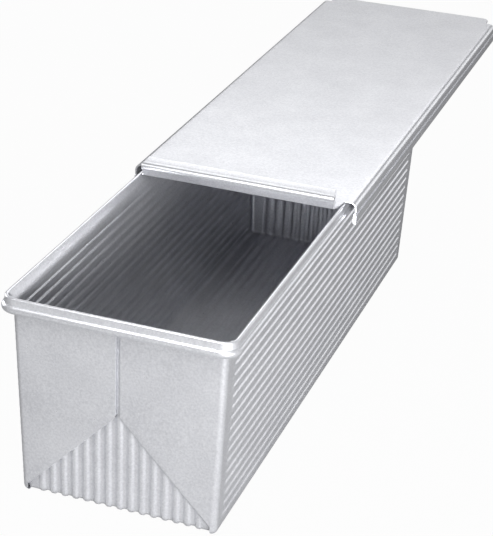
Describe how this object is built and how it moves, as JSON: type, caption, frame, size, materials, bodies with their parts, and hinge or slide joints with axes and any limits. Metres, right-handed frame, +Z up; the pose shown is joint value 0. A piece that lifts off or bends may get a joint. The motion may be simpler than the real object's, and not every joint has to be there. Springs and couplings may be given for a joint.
{
  "type": "pullman loaf pan",
  "caption": "Long straight-sided loaf pan of ribbed folded sheet with a wired rim and a flat lid that slides on along the rim.",
  "frame": {"origin": "on the resting plane under the middle of the pan's floor", "axes": "+Z up, Y along the pan with the lid sliding open toward +Y, X across"},
  "size_m": [0.1226, 0.5176, 0.1128],
  "materials": {
    "pan_sheet": "satin",
    "lid_sheet": "satin",
    "wire": "satin"
  },
  "bodies": {
    "pan": {"pan_body": "pan_sheet", "pan_rim_wire": "wire"},
    "lid": {"lid_sheet": "lid_sheet", "lid_lip_wire": "wire"}
  },
  "joints": [
    {"name": "lid_slide", "type": "slide", "parent": "pan", "child": "lid", "axis": [0, 1, 0], "range_m": [-0.1666, 0.186]}
  ]
}
